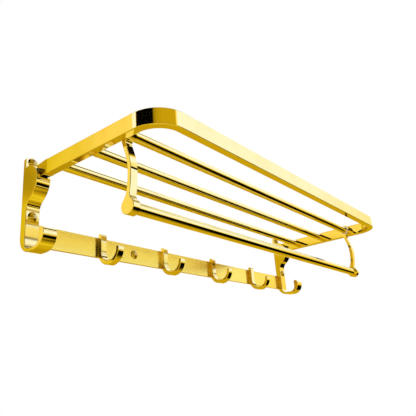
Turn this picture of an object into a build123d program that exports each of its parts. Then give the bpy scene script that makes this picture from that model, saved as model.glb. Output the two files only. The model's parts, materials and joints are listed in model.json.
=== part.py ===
from build123d import *
from math import asin, atan2, cos, degrees, radians, sin, sqrt
import os

# Folding towel rack for a bathroom wall, in millimetres.
# X runs along the wall, +Y points into the wall, +Z is up. The wall is the plane Y = 0.
# The origin is the centre of the four bracket screw holes, on the wall.

# ---- Shelf frame: a flat tube bent into a U that opens towards the wall ----
frame_length = 600.0
frame_reach = 224.5  # wall to the outer face of the front bar
bar_width = 9.8
bar_height = 19.2
bar_wall = 1.5
bar_edge_radius = 1.0
bend_radius = 37.2  # outside of the two front bends
bar_end_reach = 42.0  # wall to the cut ends of the side bars
shelf_z = 18.6  # middle height of the frame and of its rods

# ---- Rods across the frame ----
rod_radius = 6.25
rod_wall = 1.0
rod_reach = {"rear_rod": 55.0, "middle_rod": 110.0, "front_rod": 165.0}

# ---- Wall brackets, one under each end of the shelf ----
bracket_x = 295.1  # middle plane of each bracket, and of each side bar
bracket_width = 18.5
bracket_top = 40.8
bracket_bottom = -81.3
plate_depth = 10.0  # lower part of the bracket, in front of the wall
top_plate_depth = 4.6  # thin part above the hinge
top_corner_radius = 2.5
bulb_reach = 10.0  # centre of the round hinge housing
bulb_z = 8.2
bulb_radius = 20.0
belly_radius = 30.0  # flatter curve under the housing's front
belly_start = 10.0  # slope of the front where that curve starts and ends
belly_end = 56.0
edge_radius = 0.6

# ---- J hook at the foot of each bracket ----
foot_outer_front_radius = 18.5
foot_outer_back_radius = 19.0
foot_inner_front_radius = 10.0
foot_inner_back_radius = 8.0
foot_thickness = 4.1
foot_tip_inner = 38.2
foot_tip_outer = 46.8
foot_tip_top = -56.3
foot_tip_front_radius = 6.0  # the tip slopes down towards the room
foot_tip_back_radius = 1.5

# ---- Hinge: knuckle between two cheeks, on a cross pin ----
pivot_reach = 14.5
slot_width = 10.2
slot_floor_back = 10.3
slot_floor_front = 7.4
eye_radius = 7.5
eye_width = 8.2
washer_thickness = 0.9
washer_radius = 7.0
pin_radius = 3.0
running_clearance = 0.05
pin_recess = 1.0  # depth of the pin's end below the inner face
pin_blind_depth = 3.0  # depth of the pin in the outer cheek
pin_key_size = 1.6  # radius of the hexagon socket
pin_key_depth = 2.0
tongue_length = 20.0
tongue_clearance = 0.1

# ---- Stop pin: crosses the knuckle and rests on the front edge of the cheeks ----
stop_pin_radius = 2.5
stop_pin_angle = 21.0  # place round the housing, above the horizontal
stop_gap = 0.1
stop_pin_length = 16.0

# ---- Swinging towel bar under the front rod ----
towel_bar_reach = 166.4
towel_bar_z = -64.0
towel_bar_radius = 6.5
towel_bar_wall = 1.0
arm_outer_x = 289.6
arm_width = 9.6
arm_upper_end_radius = 9.4
arm_lower_end_radius = 9.0
strap_thickness = 4.8
strap_bow = (170.2, -25.0)  # reach and height of the foremost point of the strap
strap_upper_radius = 60.0  # bend above that point, up to a straight part that leans to the wall
strap_lower_radius = 130.0  # bend below it
strap_lean = 18.0
strap_straight_length = 21.5  # ends inside the upper round end
strap_foot_z = -60.0  # ends inside the lower round end
upper_neck_radius = 3.0
lower_neck_front_radius = 8.0
lower_neck_back_radius = 28.0
bush_radius = 7.6
bush_flange_radius = 8.8
bush_flange = 0.4
socket_depth = 7.6
set_screw_radius = 2.0
set_screw_length = 2.2
set_screw_sink = 0.2
set_screw_key_size = 1.0
set_screw_key_depth = 1.2

# ---- Hook rail between the brackets ----
rail_z = -55.3
rail_height = 27.4
rail_depth = 3.0
rail_let_in = 8.0  # length of each end inside its bracket
rail_fit = 0.1
rail_edge_radius = 0.5

# ---- Four hooks on the rail ----
hook_pitch = 121.8
hook_row_middle = -3.5
hook_width = 10.0
hook_plate_front = 9.1  # the plate lies on the front of the rail
hook_top = -36.9
hook_outer_radius = 20.0
hook_inner_radius = 14.8
hook_curve_z = -62.2  # height of the centre of the hook's curve, and of its round tip
hook_edge_radius = 0.5

# ---- Fasteners ----
wall_hole_radius = 2.75
wall_hole_spacing_z = 72.0
cap_bore_radius = 5.0
cap_bore_depth_top = 2.2
cap_bore_depth_low = 4.0
cap_bore_depth_rail = 1.6
cap_radius = 6.5
cap_height = 3.8
cap_wall = 0.8
cap_spigot = 1.4
rail_hole_x = -125.4
m4_radius = 2.0
m4_head_radius = 3.8
m4_length = 7.0
m4_key_size = 1.45
m4_key_depth = 1.2
hook_screw_spacing = 15.0

MATCH = 0.01  # tolerance for finding edges by their position

# Plane on the wall that faces the room: its coordinates are (X, Z, reach from the wall)
ROOM = Plane(origin=(0, 0, 0), x_dir=(1, 0, 0), z_dir=(0, -1, 0))
# The same plane seen from inside the wall, for holes drilled from behind
BEHIND = Plane(origin=(0, 0, 0), x_dir=(-1, 0, 0), z_dir=(0, 1, 0))
# A cylinder placed on a face rises from it, or goes down into it
RISES = (Align.CENTER, Align.CENTER, Align.MIN)
GOES_IN = (Align.CENTER, Align.CENTER, Align.MAX)

SIDES = {"left": -1, "right": 1}
frame_inner_x = frame_length / 2 - bar_width
stop_pin_reach = bulb_reach + (bulb_radius + stop_pin_radius + stop_gap) * cos(radians(stop_pin_angle))
stop_pin_z = bulb_z + (bulb_radius + stop_pin_radius + stop_gap) * sin(radians(stop_pin_angle))
hook_positions = [hook_row_middle + (i - 1.5) * hook_pitch for i in range(4)]

os.makedirs("parts", exist_ok=True)


def save(builder, name):
    """Label a finished piece and write it to its own file."""
    builder.part.label = name
    export_step(builder.part, f"parts/{name}.step")


def side_plane(x):
    """Plane across the object at this X. Its coordinates are (Y, Z)."""
    return Plane.YZ.offset(x)


def edges_at(builder, middle, distance):
    """Edges of a piece that lie flat at this distance on either side of a middle X."""
    return builder.edges().filter_by(lambda e: abs(abs(e.center().X - middle) - distance) < MATCH)


# ------------------------------------------------------------------ brackets


def bracket_outline():
    """Side view of a bracket: thin top plate, hinge housing, thick plate and J foot."""
    bulb_top = bulb_z + sqrt(bulb_radius**2 - (bulb_reach - top_plate_depth) ** 2)
    bulb_start = degrees(atan2(bulb_top - bulb_z, bulb_reach - top_plate_depth))
    # under the housing's front, a flatter curve runs down to its steepest point
    turn, steepest = radians(belly_start), radians(belly_end)
    belly_reach = bulb_reach + (bulb_radius - belly_radius) * cos(turn)
    belly_z = bulb_z - (bulb_radius - belly_radius) * sin(turn)
    # from there a hollow neck turns into the front of the thick plate
    neck_radius = (belly_reach + belly_radius * cos(steepest) - plate_depth) / (1 - cos(steepest))
    neck_reach = plate_depth + neck_radius
    neck_z = belly_z - (belly_radius + neck_radius) * sin(steepest)
    foot_floor = bracket_bottom + foot_thickness
    tip_front_z = foot_tip_top - foot_tip_front_radius
    tip_back_z = foot_tip_top - foot_tip_back_radius
    inner_front_z = foot_floor + foot_inner_front_radius
    Polyline((-top_plate_depth, bulb_top), (-top_plate_depth, bracket_top), (0, bracket_top))
    Line((0, bracket_top), (0, bracket_bottom + foot_outer_back_radius))
    CenterArc(
        (-foot_outer_back_radius, bracket_bottom + foot_outer_back_radius),
        foot_outer_back_radius, 0, -90,
    )
    Line(
        (-foot_outer_back_radius, bracket_bottom),
        (foot_outer_front_radius - foot_tip_outer, bracket_bottom),
    )
    CenterArc(
        (foot_outer_front_radius - foot_tip_outer, bracket_bottom + foot_outer_front_radius),
        foot_outer_front_radius, 270, -90,
    )
    Line((-foot_tip_outer, bracket_bottom + foot_outer_front_radius), (-foot_tip_outer, tip_front_z))
    CenterArc((foot_tip_front_radius - foot_tip_outer, tip_front_z), foot_tip_front_radius, 180, -90)
    Line(
        (foot_tip_front_radius - foot_tip_outer, foot_tip_top),
        (-foot_tip_back_radius - foot_tip_inner, foot_tip_top),
    )
    CenterArc((-foot_tip_back_radius - foot_tip_inner, tip_back_z), foot_tip_back_radius, 90, -90)
    Line((-foot_tip_inner, tip_back_z), (-foot_tip_inner, inner_front_z))
    CenterArc(
        (foot_inner_front_radius - foot_tip_inner, inner_front_z),
        foot_inner_front_radius, 180, 90,
    )
    Line(
        (foot_inner_front_radius - foot_tip_inner, foot_floor),
        (-plate_depth - foot_inner_back_radius, foot_floor),
    )
    CenterArc(
        (-plate_depth - foot_inner_back_radius, foot_floor + foot_inner_back_radius),
        foot_inner_back_radius, 270, 90,
    )
    Line((-plate_depth, foot_floor + foot_inner_back_radius), (-plate_depth, neck_z))
    CenterArc((-neck_reach, neck_z), neck_radius, 0, belly_end)
    CenterArc((-belly_reach, belly_z), belly_radius, 180 + belly_end, belly_start - belly_end)
    CenterArc((-bulb_reach, bulb_z), bulb_radius, 180 + belly_start, bulb_start - 180 - belly_start)


def make_bracket(side):
    middle = side * bracket_x
    inner_x = middle - side * bracket_width / 2
    with BuildPart() as bracket:
        with BuildSketch(side_plane(middle)):
            with BuildLine():
                bracket_outline()
            make_face()
        extrude(amount=bracket_width / 2, both=True)
        # round the two upper corners, then soften the whole outline on both sides
        fillet(bracket.faces().sort_by(Axis.Z)[-1].edges().filter_by(Axis.Y), top_corner_radius)
        fillet(edges_at(bracket, middle, bracket_width / 2), edge_radius)
        # slot for the knuckle, open to the front and the top
        with BuildSketch(side_plane(middle)):
            Polygon(
                (-top_plate_depth, slot_floor_back),
                (-2 * bulb_reach - bulb_radius, slot_floor_front),
                (-2 * bulb_reach - bulb_radius, bracket_top + bulb_radius),
                (-top_plate_depth, bracket_top + bulb_radius),
                align=None,
            )
        extrude(amount=slot_width / 2, both=True, mode=Mode.SUBTRACT)
        # hole for the pivot pin: through the inner cheek, blind in the outer one
        with BuildSketch(side_plane(inner_x)):
            with Locations((-pivot_reach, shelf_z)):
                Circle(pin_radius)
        cheek = (bracket_width - slot_width) / 2
        extrude(amount=side * (cheek + slot_width + pin_blind_depth), mode=Mode.SUBTRACT)
        # screw holes with a bore for the cover cap
        for z, face, bore_depth in (
            (wall_hole_spacing_z / 2, top_plate_depth, cap_bore_depth_top),
            (-wall_hole_spacing_z / 2, plate_depth, cap_bore_depth_low),
        ):
            with Locations(ROOM.location * Location((middle, z, face))):
                CounterBoreHole(wall_hole_radius, cap_bore_radius, bore_depth, depth=face)
        # rebate for the end of the hook rail, and the tapped hole that holds it
        with BuildSketch(Plane.XZ):
            with Locations((inner_x + side * (rail_let_in + rail_fit) / 2, rail_z)):
                Rectangle(rail_let_in + rail_fit, rail_height + 2 * rail_fit)
        extrude(amount=rail_depth + rail_fit, mode=Mode.SUBTRACT)
        with Locations(BEHIND.location * Location((-inner_x - side * rail_let_in / 2, rail_z, 0))):
            Hole(m4_radius, depth=m4_length)
    return bracket


for side_name, side in SIDES.items():
    save(make_bracket(side), f"{side_name}_bracket")


# --------------------------------------------------------------------- hinges


def make_pivot_pin(side):
    """Cross pin with a hexagon socket in its inner end."""
    start = side * (bracket_x - bracket_width / 2 + pin_recess)
    length = (bracket_width + slot_width) / 2 + pin_blind_depth - pin_recess
    with BuildPart() as pin:
        with BuildSketch(side_plane(start)):
            with Locations((-pivot_reach, shelf_z)):
                Circle(pin_radius)
        extrude(amount=side * length)
        with BuildSketch(side_plane(start)):
            with Locations((-pivot_reach, shelf_z)):
                RegularPolygon(pin_key_size, 6)
        extrude(amount=side * pin_key_depth, mode=Mode.SUBTRACT)
    return pin


def make_hinge_washers(side):
    """Two washers that keep the knuckle's eye clear of the cheeks."""
    with BuildPart() as washers:
        for facing in (-1, 1):
            inner = side * bracket_x + facing * (eye_width / 2 + running_clearance)
            with BuildSketch(side_plane(inner)):
                with Locations((-pivot_reach, shelf_z)):
                    Circle(washer_radius)
                    Circle(pin_radius, mode=Mode.SUBTRACT)
            extrude(amount=facing * washer_thickness)
    return washers


def make_knuckle(side):
    """Solid end of a side bar: a tapering block with an eye, and a tongue inside the tube."""
    middle = side * bracket_x
    half = bar_height / 2
    root = bar_end_reach - pivot_reach
    # the straight edges are tangent to the eye
    taper = atan2(half, root) - atan2(eye_radius, sqrt(root**2 + half**2 - eye_radius**2))
    touch_reach = pivot_reach - eye_radius * sin(taper)
    touch_drop = eye_radius * cos(taper)
    with BuildPart() as knuckle:
        with BuildSketch(side_plane(middle)):
            Polygon(
                (-touch_reach, shelf_z + touch_drop),
                (-bar_end_reach, shelf_z + half),
                (-bar_end_reach, shelf_z - half),
                (-touch_reach, shelf_z - touch_drop),
                align=None,
            )
            with Locations((-pivot_reach, shelf_z)):
                Circle(eye_radius)
        extrude(amount=bar_width / 2, both=True)
        # seen from above it narrows towards the eye, which leaves room for a washer on each side
        with BuildSketch(Plane.XY.offset(shelf_z)):
            Polygon(
                (middle - eye_width / 2, 0),
                (middle + eye_width / 2, 0),
                (middle + eye_width / 2, -pivot_reach - eye_radius),
                (middle + bar_width / 2, -bar_end_reach),
                (middle - bar_width / 2, -bar_end_reach),
                (middle - eye_width / 2, -pivot_reach - eye_radius),
                align=None,
            )
        extrude(amount=bar_height, both=True, mode=Mode.INTERSECT)
        # tongue inside the flat tube
        with BuildSketch(Plane.XZ.offset(bar_end_reach)):
            with Locations((middle, shelf_z)):
                RectangleRounded(
                    bar_width - 2 * bar_wall - 2 * tongue_clearance,
                    bar_height - 2 * bar_wall - 2 * tongue_clearance,
                    bar_edge_radius,
                )
        extrude(amount=tongue_length)
        with BuildSketch(side_plane(middle)):
            with Locations((-pivot_reach, shelf_z)):
                Circle(pin_radius + running_clearance)
            with Locations((-stop_pin_reach, stop_pin_z)):
                Circle(stop_pin_radius)
        extrude(amount=bar_width, both=True, mode=Mode.SUBTRACT)
    return knuckle


def make_stop_pin(side):
    with BuildPart() as pin:
        with BuildSketch(side_plane(side * bracket_x)):
            with Locations((-stop_pin_reach, stop_pin_z)):
                Circle(stop_pin_radius)
        extrude(amount=stop_pin_length / 2, both=True)
        chamfer(pin.edges().filter_by(GeomType.CIRCLE), edge_radius)
    return pin


for side_name, side in SIDES.items():
    save(make_pivot_pin(side), f"{side_name}_pivot_pin")
    save(make_hinge_washers(side), f"{side_name}_hinge_washers")
    save(make_knuckle(side), f"{side_name}_knuckle")
    save(make_stop_pin(side), f"{side_name}_stop_pin")


# ---------------------------------------------------------------- shelf frame

front_y = -(frame_reach - bar_width / 2)
with BuildPart() as shelf_frame:
    with BuildLine(Plane.XY.offset(shelf_z)) as frame_path:
        FilletPolyline(
            (-bracket_x, -bar_end_reach),
            (-bracket_x, front_y),
            (bracket_x, front_y),
            (bracket_x, -bar_end_reach),
            radius=bend_radius - bar_width / 2,
        )
    with BuildSketch(Plane.XZ.offset(bar_end_reach)):
        with Locations((-bracket_x, shelf_z)):
            RectangleRounded(bar_width, bar_height, bar_edge_radius)
            Rectangle(bar_width - 2 * bar_wall, bar_height - 2 * bar_wall, mode=Mode.SUBTRACT)
    sweep(path=frame_path.wires()[0])
    # the rods pass through the inner wall of each side bar
    with BuildSketch(side_plane(0)):
        for reach in rod_reach.values():
            with Locations((-reach, shelf_z)):
                Circle(rod_radius)
    extrude(amount=frame_inner_x + bar_wall, both=True, mode=Mode.SUBTRACT)
save(shelf_frame, "shelf_frame")


def make_tube(reach, z, radius, wall, half_length):
    """Round tube along X."""
    with BuildPart() as tube:
        with BuildSketch(side_plane(0)):
            with Locations((-reach, z)):
                Circle(radius)
                Circle(radius - wall, mode=Mode.SUBTRACT)
        extrude(amount=half_length, both=True)
    return tube


for rod_name, reach in rod_reach.items():
    save(make_tube(reach, shelf_z, rod_radius, rod_wall, frame_inner_x + bar_wall), rod_name)


# ------------------------------------------------------- swinging towel bar

arm_inner_x = arm_outer_x - arm_width
bar_half_length = arm_inner_x + socket_depth
front_reach = rod_reach["front_rod"]


def strap_edge(offset):
    """Front or back edge of the strap, which returns its top and foot points."""
    bow_reach, bow_z = strap_bow
    upper = strap_upper_radius + offset
    lower = strap_lower_radius + offset
    lower_angle = degrees(asin((bow_z - strap_foot_z) / lower))
    top_arc = CenterArc((strap_upper_radius - bow_reach, bow_z), upper, 180 - strap_lean, strap_lean)
    straight = PolarLine(top_arc @ 0, strap_straight_length, 90 - strap_lean)
    foot_arc = CenterArc((strap_lower_radius - bow_reach, bow_z), lower, 180, lower_angle)
    return straight @ 1, foot_arc @ 1


def corners_between(profile, low, high):
    """Corners of a side view between two heights, from the room towards the wall."""
    # in the side view, X and Y are the Y and Z of the object
    return profile.vertices().filter_by(lambda v: low + MATCH < v.Y < high - MATCH).sort_by(Axis.X)


def set_screw_place(side):
    """Mouth of the set screw's hole, on the wall side of the arm's lower end."""
    mouth = (side * (arm_inner_x + socket_depth / 2), arm_lower_end_radius - towel_bar_reach, towel_bar_z)
    return Plane(origin=mouth, x_dir=(1, 0, 0), z_dir=(0, 1, 0)).location


def make_arm(side):
    """Bowed flat strap with a round end at the front rod and a drop-shaped one at the towel bar."""
    with BuildPart() as arm:
        with BuildSketch(side_plane(side * arm_outer_x)) as profile:
            with BuildLine():
                front_top, front_foot = strap_edge(strap_thickness / 2)
                back_top, back_foot = strap_edge(-strap_thickness / 2)
                Line(front_top, back_top)
                Line(front_foot, back_foot)
            make_face()
            with Locations((-front_reach, shelf_z)):
                Circle(arm_upper_end_radius)
            with Locations((-towel_bar_reach, towel_bar_z)):
                Circle(arm_lower_end_radius)
            bow_z = strap_bow[1]
            strap_top_z = bow_z + strap_upper_radius * sin(radians(strap_lean)) + strap_thickness
            upper_corners = corners_between(profile, strap_top_z, shelf_z)
            fillet(upper_corners, upper_neck_radius)
            fillet(corners_between(profile, towel_bar_z, bow_z)[0], lower_neck_front_radius)
            fillet(corners_between(profile, towel_bar_z, bow_z)[-1], lower_neck_back_radius)
        extrude(amount=-side * arm_width)
        fillet(edges_at(arm, 0, arm_outer_x), edge_radius)
        with BuildSketch(side_plane(side * arm_outer_x)):
            with Locations((-front_reach, shelf_z)):
                Circle(bush_radius)
        extrude(amount=-side * arm_width, mode=Mode.SUBTRACT)
        with BuildSketch(side_plane(side * arm_inner_x)):
            with Locations((-towel_bar_reach, towel_bar_z)):
                Circle(towel_bar_radius)
        extrude(amount=side * socket_depth, mode=Mode.SUBTRACT)
        # tapped hole for the set screw, from the wall side
        with Locations(set_screw_place(side)):
            Cylinder(set_screw_radius, arm_lower_end_radius, align=GOES_IN, mode=Mode.SUBTRACT)
    return arm


def make_arm_bush(side):
    """Plain bush between the arm and the front rod, with a thin flange against the side bar."""
    with BuildPart() as bush:
        with BuildSketch(side_plane(side * arm_outer_x)):
            with Locations((-front_reach, shelf_z)):
                Circle(bush_radius)
        extrude(amount=-side * arm_width)
        with BuildSketch(side_plane(side * arm_outer_x)):
            with Locations((-front_reach, shelf_z)):
                Circle(bush_flange_radius)
        extrude(amount=side * bush_flange)
        with BuildSketch(side_plane(0)):
            with Locations((-front_reach, shelf_z)):
                Circle(rod_radius + running_clearance)
        extrude(amount=frame_length / 2, both=True, mode=Mode.SUBTRACT)
    return bush


for side_name, side in SIDES.items():
    save(make_arm(side), f"{side_name}_arm")
    save(make_arm_bush(side), f"{side_name}_arm_bush")

towel_bar = make_tube(towel_bar_reach, towel_bar_z, towel_bar_radius, towel_bar_wall, bar_half_length)
with towel_bar:
    for side in SIDES.values():
        with Locations(set_screw_place(side)):
            Cylinder(set_screw_radius, arm_lower_end_radius, align=GOES_IN, mode=Mode.SUBTRACT)
save(towel_bar, "towel_bar")

with BuildPart() as arm_set_screws:
    for side in SIDES.values():
        with Locations(set_screw_place(side) * Location((0, 0, -set_screw_sink))):
            Cylinder(set_screw_radius, set_screw_length, align=GOES_IN)
            Cylinder(set_screw_key_size, set_screw_key_depth, align=GOES_IN, mode=Mode.SUBTRACT)
save(arm_set_screws, "arm_set_screws")


# ------------------------------------------------------------------ hook rail

rail_half_length = bracket_x - bracket_width / 2 + rail_let_in
rail_end_x = bracket_x - bracket_width / 2 + rail_let_in / 2
hook_screw_spots = [
    (x, rail_z + dz) for x in hook_positions for dz in (-hook_screw_spacing / 2, hook_screw_spacing / 2)
]
rail_end_spots = [(side * rail_end_x, rail_z) for side in SIDES.values()]

with BuildPart() as hook_rail:
    with BuildSketch(ROOM):
        with Locations((0, rail_z)):
            Rectangle(2 * rail_half_length, rail_height)
    extrude(amount=rail_depth)
    fillet(hook_rail.edges().filter_by(Axis.X).group_by(Axis.Y)[0], rail_edge_radius)
    for x, z in hook_screw_spots + rail_end_spots:
        with Locations(BEHIND.location * Location((-x, z, 0))):
            CounterSinkHole(m4_radius, m4_head_radius, depth=rail_depth)
    with Locations(ROOM.location * Location((rail_hole_x, rail_z, rail_depth))):
        CounterBoreHole(wall_hole_radius, cap_bore_radius, cap_bore_depth_rail, depth=rail_depth)
save(hook_rail, "hook_rail")


# --------------------------------------------------------------------- hooks


def make_hook(x):
    """One casting: plate with a round top on the front of the rail, and a U-shaped hook."""
    back = -rail_depth
    front = -hook_plate_front
    curve_reach = rail_depth + hook_outer_radius
    inner_reach = hook_plate_front + hook_inner_radius
    tip_outer = curve_reach + hook_outer_radius
    tip_inner = inner_reach + hook_inner_radius
    tip_radius = (tip_outer - tip_inner) / 2
    top_radius = (hook_plate_front - rail_depth) / 2
    top_z = hook_top - top_radius
    with BuildPart() as hook:
        with BuildSketch(side_plane(x)):
            with BuildLine():
                Line((back, hook_curve_z), (back, top_z))
                CenterArc(((back + front) / 2, top_z), top_radius, 0, 180)
                Line((front, top_z), (front, hook_curve_z))
                CenterArc((-inner_reach, hook_curve_z), hook_inner_radius, 0, -180)
                CenterArc((-tip_inner - tip_radius, hook_curve_z), tip_radius, 0, 180)
                CenterArc((-curve_reach, hook_curve_z), hook_outer_radius, 180, 180)
            make_face()
        extrude(amount=hook_width / 2, both=True)
        fillet(edges_at(hook, x, hook_width / 2), hook_edge_radius)
        for dz in (-hook_screw_spacing / 2, hook_screw_spacing / 2):
            with Locations(BEHIND.location * Location((-x, rail_z + dz, -rail_depth))):
                Hole(m4_radius, depth=m4_length - rail_depth)
    return hook


for number, x in enumerate(hook_positions, start=1):
    save(make_hook(x), f"hook_{number}")


# ----------------------------------------------------------------- fasteners


def make_countersunk_screws(spots):
    """M4 screws driven from behind the rail, heads flush with its back."""
    cone_depth = m4_head_radius - m4_radius
    with BuildPart() as screws:
        for x, z in spots:
            with Locations(ROOM.location * Location((x, z, 0))):
                Cone(m4_head_radius, m4_radius, cone_depth, align=RISES)
                Cylinder(m4_radius, m4_length, align=RISES)
            with BuildSketch(Plane(ROOM.location * Location((x, z, 0)))):
                RegularPolygon(m4_key_size, 6)
            extrude(amount=m4_key_depth, mode=Mode.SUBTRACT)
    return screws


save(make_countersunk_screws(hook_screw_spots), "hook_screws")
save(make_countersunk_screws(rail_end_spots), "rail_end_screws")


def make_caps(spots):
    """Domed covers that plug into the bores over the wall screws. A spot is (X, Z, reach)."""
    sphere_radius = (cap_radius**2 + cap_height**2) / (2 * cap_height)
    dome_angle = degrees(atan2(cap_radius, sphere_radius - cap_height))
    with BuildPart() as caps:
        for x, z, reach in spots:
            with BuildSketch(Plane(origin=(x, 0, z), x_dir=(1, 0, 0), z_dir=(0, 0, 1))):
                with BuildLine():
                    Line((0, -reach - cap_height), (0, -reach - cap_height + cap_wall))
                    Line((0, -reach - cap_height + cap_wall), (cap_bore_radius - cap_wall, -reach))
                    Polyline(
                        (cap_bore_radius - cap_wall, -reach),
                        (cap_bore_radius - cap_wall, cap_spigot - reach),
                        (cap_bore_radius, cap_spigot - reach),
                        (cap_bore_radius, -reach),
                        (cap_radius, -reach),
                    )
                    CenterArc((0, sphere_radius - reach - cap_height), sphere_radius, 270, dome_angle)
                make_face()
            revolve(axis=Axis((x, 0, z), (0, 1, 0)))
    return caps


bracket_cap_spots = [
    (side * bracket_x, z, reach)
    for side in SIDES.values()
    for z, reach in (
        (wall_hole_spacing_z / 2, top_plate_depth),
        (-wall_hole_spacing_z / 2, plate_depth),
    )
]
save(make_caps(bracket_cap_spots), "bracket_screw_caps")
save(make_caps([(rail_hole_x, rail_z, rail_depth)]), "rail_screw_cap")
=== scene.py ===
import json

import bpy
from mathutils import Matrix, Vector


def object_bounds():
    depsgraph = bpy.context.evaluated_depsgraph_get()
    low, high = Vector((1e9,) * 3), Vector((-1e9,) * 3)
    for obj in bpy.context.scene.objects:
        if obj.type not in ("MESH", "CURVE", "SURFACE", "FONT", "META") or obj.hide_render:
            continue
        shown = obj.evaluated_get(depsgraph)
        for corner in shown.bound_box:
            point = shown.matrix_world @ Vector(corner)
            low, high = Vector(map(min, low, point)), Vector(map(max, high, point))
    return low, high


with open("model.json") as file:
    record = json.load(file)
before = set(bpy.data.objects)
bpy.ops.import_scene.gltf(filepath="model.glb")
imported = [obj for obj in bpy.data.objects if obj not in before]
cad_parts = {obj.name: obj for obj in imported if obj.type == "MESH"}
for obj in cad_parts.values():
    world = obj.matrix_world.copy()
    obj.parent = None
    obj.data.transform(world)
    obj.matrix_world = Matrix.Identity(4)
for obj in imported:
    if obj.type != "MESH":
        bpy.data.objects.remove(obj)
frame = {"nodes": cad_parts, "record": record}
cad_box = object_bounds()

# ------------------------------------------------------------------ node helpers


class Tree:
    """Adds and links nodes of one node tree."""

    def __init__(self, tree):
        self.tree = tree
        tree.nodes.clear()

    def add(self, kind, settings=None, **inputs):
        """New node. Settings are its properties; an input is a number, a colour or another socket."""
        node = self.tree.nodes.new(kind)
        for name, value in (settings or {}).items():
            setattr(node, name, value)
        for name, value in inputs.items():
            self.feed(node.inputs[name.replace("_", " ")], value)
        return node

    def feed(self, socket, value):
        if isinstance(value, bpy.types.NodeSocket):
            self.tree.links.new(value, socket)
        else:
            socket.default_value = value

    def math(self, operation, *values, clamp=False):
        node = self.add("ShaderNodeMath", {"operation": operation, "use_clamp": clamp})
        for socket, value in zip(node.inputs, values):
            self.feed(socket, value)
        return node.outputs[0]

    def scale(self, value, low, high, to_low, to_high, kind="LINEAR"):
        """Takes the range from low to high to the range from to_low to to_high."""
        node = self.add("ShaderNodeMapRange", {"interpolation_type": kind})
        names = ("Value", "From Min", "From Max", "To Min", "To Max")
        for name, number in zip(names, (value, low, high, to_low, to_high)):
            self.feed(node.inputs[name], number)
        return node.outputs["Result"]

    def step(self, value, start, end):
        """0 before start, 1 after end, smooth between them."""
        return self.scale(value, start, end, 0.0, 1.0, kind="SMOOTHSTEP")

    def mix(self, factor, first, second):
        """Mix of two numbers."""
        node = self.add("ShaderNodeMix", {"data_type": "FLOAT"})
        for socket, value in zip((node.inputs[0], node.inputs[2], node.inputs[3]), (factor, first, second)):
            self.feed(socket, value)
        return node.outputs[0]

    def tint(self, factor, first, second):
        """Mix of two colours."""
        node = self.add("ShaderNodeMix", {"data_type": "RGBA"})
        for socket, value in zip((node.inputs[0], node.inputs[6], node.inputs[7]), (factor, first, second)):
            self.feed(socket, value)
        return node.outputs[2]

    def curve(self, value, points):
        """Piecewise linear function through (value, level) points, for levels from 0 to 1."""
        low, high = points[0][0], points[-1][0]
        place = self.scale(value, low, high, 0.0, 1.0)
        ramp = self.add("ShaderNodeValToRGB", Fac=place)
        stops = ramp.color_ramp.elements
        for x, _ in points[1:-1]:
            stops.new((x - low) / (high - low))
        for stop, (_, level) in zip(stops, points):
            stop.color = (level, level, level, 1.0)
        return ramp.outputs["Color"]

    def finish(self, shader, output="ShaderNodeOutputMaterial"):
        """Gives the shader to the tree's output."""
        self.feed(self.add(output).inputs["Surface"], shader)


# ---------------------------------------------------------------------- metals

# two tones of each plating: the clean metal, and the metal under a smear. The strip's pair is a deeper,
# more orange gold and the caps' pair a darker gold, both painted shade
GOLD = (0.97, 0.85, 0.40, 1.0)
GOLD_DEEP = (0.94, 0.80, 0.35, 1.0)
GOLD_EDGE = (1.0, 0.95, 0.75, 1.0)
# the rail strip's gold, deeper and more orange than GOLD: painted shade for the dimmer light the rail
# reflects
STRIP_PAINTED_SHADE = (0.99, 0.79, 0.17, 1.0)
STRIP_DEEP_PAINTED_SHADE = (0.97, 0.76, 0.15, 1.0)
# the caps' gold, darker than GOLD: painted shade standing in for the dark look of their domes
CAP_PAINTED_SHADE = (0.66, 0.54, 0.22, 1.0)
CAP_DEEP_PAINTED_SHADE = (0.50, 0.40, 0.15, 1.0)


def new_material(name):
    material = bpy.data.materials.new(name)
    material.use_nodes = True
    return material, Tree(material.node_tree)


def noise(tree, vector, size, detail=2.0, stretch=(1.0, 1.0, 1.0)):
    """Noise whose features are about this size in metres, longer along a direction of low stretch."""
    place = tree.add("ShaderNodeMapping", Vector=vector)
    place.inputs["Scale"].default_value = stretch
    node = tree.add(
        "ShaderNodeTexNoise", Vector=place.outputs["Vector"], Scale=1.0 / size, Detail=detail
    )
    return node.outputs["Fac"]


def polished_gold(name, wave_height, wave_size, hairline, rough=(0.04, 0.07), tone=(GOLD, GOLD_DEEP)):
    """Bright gold plating: slow waves of the metal under it, hairlines from polishing, faint smears."""
    material, tree = new_material(name)
    place = tree.add("ShaderNodeTexCoord").outputs["Object"]
    waves = noise(tree, place, wave_size, detail=1.0)
    lines = noise(tree, place, 0.0006, detail=3.0, stretch=hairline)
    smears = noise(tree, place, 0.018, detail=4.0)
    specks = noise(tree, place, 0.0015, detail=2.0)
    # colour from the tone pair: the plating's own colour, but for the strip and the caps the pair is
    # painted shade
    colour = tree.tint(tree.step(smears, 0.45, 0.75), *tone)
    polish = tree.math("MULTIPLY", tree.step(lines, 0.35, 0.75), 0.6)
    polish = tree.math("ADD", polish, tree.math("MULTIPLY", tree.step(specks, 0.6, 0.8), 0.4))
    polish = tree.scale(polish, 0.0, 1.0, *rough)
    hair = tree.add("ShaderNodeBump", Height=lines, Strength=0.01, Distance=0.0001)
    wave = tree.add("ShaderNodeBump", Height=waves, Strength=0.5, Distance=wave_height)
    tree.feed(wave.inputs["Normal"], hair.outputs["Normal"])
    shader = tree.add(
        "ShaderNodeBsdfPrincipled",
        Base_Color=colour,
        Metallic=1.0,
        Roughness=polish,
        Normal=wave.outputs["Normal"],
        Specular_Tint=GOLD_EDGE,
    )
    tree.finish(shader.outputs["BSDF"])
    return material


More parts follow.
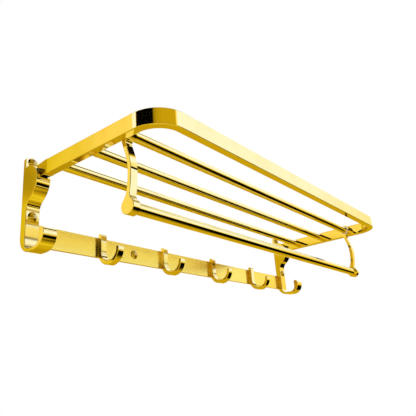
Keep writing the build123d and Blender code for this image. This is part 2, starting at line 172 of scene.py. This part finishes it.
def turned_steel(name, colour, dark, rough):
    """Bare steel with fine turning marks and darker patches of oil."""
    material, tree = new_material(name)
    place = tree.add("ShaderNodeTexCoord").outputs["Object"]
    marks = noise(tree, place, 0.0003, detail=3.0, stretch=(3.0, 0.3, 0.3))
    patches = noise(tree, place, 0.004, detail=4.0)
    bump = tree.add("ShaderNodeBump", Height=marks, Strength=0.15, Distance=0.0001)
    shader = tree.add(
        "ShaderNodeBsdfPrincipled",
        Base_Color=tree.tint(tree.step(patches, 0.4, 0.7), colour, dark),
        Metallic=1.0,
        Roughness=tree.scale(marks, 0.2, 0.8, *rough),
        Normal=bump.outputs["Normal"],
    )
    tree.finish(shader.outputs["BSDF"])
    return material


def moulded_nylon(name):
    """Natural nylon: slightly cloudy, with a fine moulded grain."""
    material, tree = new_material(name)
    place = tree.add("ShaderNodeTexCoord").outputs["Object"]
    grain = noise(tree, place, 0.0004, detail=2.0)
    cloud = noise(tree, place, 0.005, detail=3.0)
    bump = tree.add("ShaderNodeBump", Height=grain, Strength=0.2, Distance=0.0001)
    shader = tree.add(
        "ShaderNodeBsdfPrincipled",
        Base_Color=tree.tint(cloud, (0.80, 0.76, 0.66, 1.0), (0.70, 0.65, 0.54, 1.0)),
        Roughness=tree.scale(grain, 0.2, 0.8, 0.35, 0.5),
        Normal=bump.outputs["Normal"],
        Subsurface_Weight=0.1,
    )
    shader.inputs["Subsurface Radius"].default_value = (0.002, 0.0015, 0.001)
    tree.finish(shader.outputs["BSDF"])
    return material


ALONG_X = (0.05, 1.0, 1.0)
ALONG_Z = (1.0, 1.0, 0.1)
EVEN = (1.0, 1.0, 1.0)

materials = {
    "gold_cast": polished_gold("gold_cast", 0.00006, 0.03, ALONG_Z, rough=(0.05, 0.09)),
    "gold_tube": polished_gold("gold_tube", 0.00002, 0.08, ALONG_X),
    # the rail strip: its tone pair is painted shade
    "gold_strip": polished_gold(
        "gold_strip", 0.00003, 0.06, ALONG_X, rough=(0.17, 0.21), tone=(STRIP_PAINTED_SHADE, STRIP_DEEP_PAINTED_SHADE)
    ),
    # the caps: their darker tone pair is painted shade
    "gold_cap": polished_gold(
        "gold_cap", 0.00002, 0.02, EVEN, rough=(0.02, 0.04), tone=(CAP_PAINTED_SHADE, CAP_DEEP_PAINTED_SHADE)
    ),
    "pin_steel": turned_steel(
        "pin_steel", (0.16, 0.12, 0.05, 1.0), (0.05, 0.035, 0.025, 1.0), rough=(0.25, 0.4)
    ),
    "screw_steel": turned_steel(
        "screw_steel", (0.62, 0.53, 0.25, 1.0), (0.42, 0.35, 0.20, 1.0), rough=(0.2, 0.35)
    ),
    "nylon": moulded_nylon("nylon"),
}

for part in frame["record"]["subparts"]:
    for material_slot in frame["nodes"][part["node"]].material_slots:
        material_slot.material = materials[part["material_slot"]]

# ---------------------------------------------------------------- studio floor

FLOOR_DROP = 0.55  # from the rack's lowest point
FLOOR_REACH = 2.8  # from the middle to each edge

floor_z = cad_box[0].z - FLOOR_DROP
floor_mesh = bpy.data.meshes.new("floor")
corners = [(-1, -1), (1, -1), (1, 1), (-1, 1)]
floor_mesh.from_pydata(
    [(x * FLOOR_REACH, y * FLOOR_REACH, floor_z) for x, y in corners], [], [(0, 1, 2, 3)]
)
floor = bpy.data.objects.new("floor", floor_mesh)
bpy.context.collection.objects.link(floor)
floor_material, tree = new_material("floor_paper")
paper = noise(tree, tree.add("ShaderNodeTexCoord").outputs["Object"], 0.4, detail=3.0)
paper_shader = tree.add(
    "ShaderNodeBsdfPrincipled",
    Base_Color=tree.tint(paper, (0.93, 0.93, 0.92, 1.0), (0.90, 0.90, 0.90, 1.0)),
    Roughness=0.9,
)
tree.finish(paper_shader.outputs["BSDF"])
floor_mesh.materials.append(floor_material)
# the polished metal shows the studio around it, not the paper under it
floor.visible_glossy = False

# ----------------------------------------------------------------- studio light

SOFTBOX = 2.0

world = bpy.data.worlds.new("studio")
bpy.context.scene.world = world
world.use_nodes = True
sky = Tree(world.node_tree)
direction = sky.add("ShaderNodeTexCoord").outputs["Generated"]
parts = sky.add("ShaderNodeSeparateXYZ", Vector=direction)
bearing = sky.math("DEGREES", sky.math("ARCTAN2", parts.outputs["Y"], parts.outputs["X"]))
bearing = sky.math("MODULO", sky.math("ADD", bearing, 360.0), 360.0)
height = sky.math("DEGREES", sky.math("ARCSINE", parts.outputs["Z"]))


def light(place, points):
    """Curve of brightness: 0.6 is the dim room, 1.2 the light card, 2.0 the softbox."""
    return sky.curve(place, [(x, brightness / SOFTBOX) for x, brightness in points])


# in front: softbox above, dark room below it, lit floor under the rack
front_left = light(height, [
    (-90, 0.6), (-62, 0.7), (-57, 1.0), (-52, 0.95), (-47, 0.8), (-41, 0.66), (-30, 0.58), (-26, 0.4),
    (-23.5, 0.0), (-8, 0.0), (-5, 0.7), (-3, 1.3), (1, 1.5), (6, 1.85), (42, 1.95), (46, 0.0), (90, 0.1),
])
front_right = light(height, [
    (-90, 0.6), (-62, 0.7), (-57, 0.9), (-50, 0.62), (-44, 0.45), (-38, 0.15), (-32, 0.0), (-8, 0.0),
    (-2, 0.6), (3, 1.1), (12, 1.2), (16, 1.6), (20, 1.9), (42, 1.9), (46, 0.0), (90, 0.1),
])
low_side = sky.step(bearing, 306.0, 312.0)
high_side = sky.step(bearing, 327.0, 331.0)
front_side = sky.mix(sky.step(height, -8.0, -6.0), low_side, high_side)
front = sky.mix(front_side, front_left, front_right)

# towards the wall and to the right: a large pale card
wall_side = light(height, [
    (-90, 0.8), (-42, 0.6), (-15, 0.62), (-5, 0.9), (3, 1.7), (8, 2.0), (60, 2.0), (80, 1.4), (90, 1.4),
])
wall_shade = sky.curve(bearing, [(0, 1.0), (40, 1.0), (56, 0.8), (90, 0.8), (110, 1.0), (360, 1.0)])
wall_side = sky.math("MULTIPLY", wall_side, wall_shade)

# high up to the left: a narrow softbox, then the dark end of the room, then a dim card
left_high = light(bearing, [
    (90, 0.6), (121, 0.6), (124, 0.88), (128, 0.95), (131, 1.1), (136, 1.35), (141, 1.8), (149, 2.0),
    (151, 0.0), (208.5, 0.0), (212, 0.33), (221, 0.5), (240, 0.6), (284, 0.6), (289, 1.4), (293, 2.0),
    (360, 2.0),
])
# low down, from the wall on the left round to the room in front
side_low = light(height, [
    (-90, 0.8), (-40, 0.6), (-25, 0.1), (0, 0.4), (12, 0.7), (20, 0.78), (21.5, 0.45), (23.5, 0.42),
    (25, 0.62), (90, 0.62),
])
left_low = light(height, [
    (-90, 0.8), (-40, 0.6), (-25, 0.5), (-8, 0.8), (0, 1.1), (6, 0.8), (9, 0.6), (13, 0.62), (14.5, 1.2),
    (90, 1.2),
])
room_low = light(height, [
    (-90, 0.8), (-57, 1.1), (-43, 0.6), (-30, 0.55), (-15, 0.7), (-6, 0.95), (2, 1.35), (5, 1.0),
    (9, 0.0), (90, 0.0),
])
left_low = sky.mix(sky.step(bearing, 175.0, 195.0), left_low, room_low)
left = sky.mix(sky.step(height, 17.0, 23.0), left_low, left_high)
left = sky.mix(sky.step(bearing, 121.5, 123.5), side_low, left)

# all of them round the rack, and a dim ceiling straight above
past_left = sky.math("SUBTRACT", 1.0, sky.step(bearing, 90.0, 100.0))
to_wall = sky.math("MAXIMUM", sky.step(bearing, 348.0, 354.0), past_left)
right = sky.mix(to_wall, front, wall_side)
not_right = sky.math("SUBTRACT", 1.0, sky.step(bearing, 290.0, 298.0))
is_left = sky.math("MULTIPLY", sky.step(bearing, 92.0, 100.0), not_right)
around = sky.mix(is_left, right, left)
brightness = sky.mix(sky.step(height, 80.0, 86.0), around, 0.6)

# film response: the light cards keep the gold's colour, the softbox washes it out to cream
FULL_LIGHT = (1.05, 1.14, 1.52)
RED = [(0.0, 0.0), (1.05, 1.0), (2.0, 1.0)]
GREEN = [(0.0, 0.0), (0.6, 0.347), (0.8, 0.535), (1.0, 0.67), (1.2, 0.714), (1.35, 0.81), (2.0, 1.0)]
BLUE = [
    (0.0, 0.0), (0.6, 0.004), (0.8, 0.007), (0.92, 0.05), (1.0, 0.11), (1.2, 0.15), (1.35, 0.26),
    (2.0, 1.0),
]
studio = sky.add("ShaderNodeCombineColor")
for socket, full, points in zip(studio.inputs, FULL_LIGHT, (RED, GREEN, BLUE)):
    share = sky.curve(brightness, [(x / SOFTBOX, y) for x, y in points])
    sky.feed(socket, sky.math("MULTIPLY", share, full))
# mirror-like rays see the cards, everything else is lit evenly white
reflected = sky.add("ShaderNodeBackground", Color=studio.outputs[0], Strength=1.0)
plain = sky.add("ShaderNodeBackground", Color=(1.0, 1.0, 1.0, 1.0), Strength=1.0)
rays = sky.add("ShaderNodeLightPath")
choice = sky.add("ShaderNodeMixShader", Fac=rays.outputs["Is Glossy Ray"])
sky.feed(choice.inputs[1], plain.outputs[0])
sky.feed(choice.inputs[2], reflected.outputs[0])
sky.finish(choice.outputs[0], "ShaderNodeOutputWorld")

# ----------------------------------------------------------------------- camera

view = bpy.context.scene.view_settings
view.view_transform = "Standard"
view.look = "None"

LENS = 41.53
SENSOR_WIDTH = 36.0
CAMERA_PLACE = (-0.5986, -0.4979, -0.22935)
CAMERA_TURN = Vector((1.7925, -0.8091, -0.6728))  # its direction is the axis, its length the angle

camera_data = bpy.data.cameras.new("camera")
camera_data.lens = LENS
camera_data.sensor_width = SENSOR_WIDTH
camera_data.clip_start = 0.01
camera = bpy.data.objects.new("camera", camera_data)
rotation = Matrix.Rotation(CAMERA_TURN.length, 4, CAMERA_TURN)
camera.matrix_world = Matrix.Translation(CAMERA_PLACE) @ rotation
bpy.context.collection.objects.link(camera)
bpy.context.scene.camera = camera
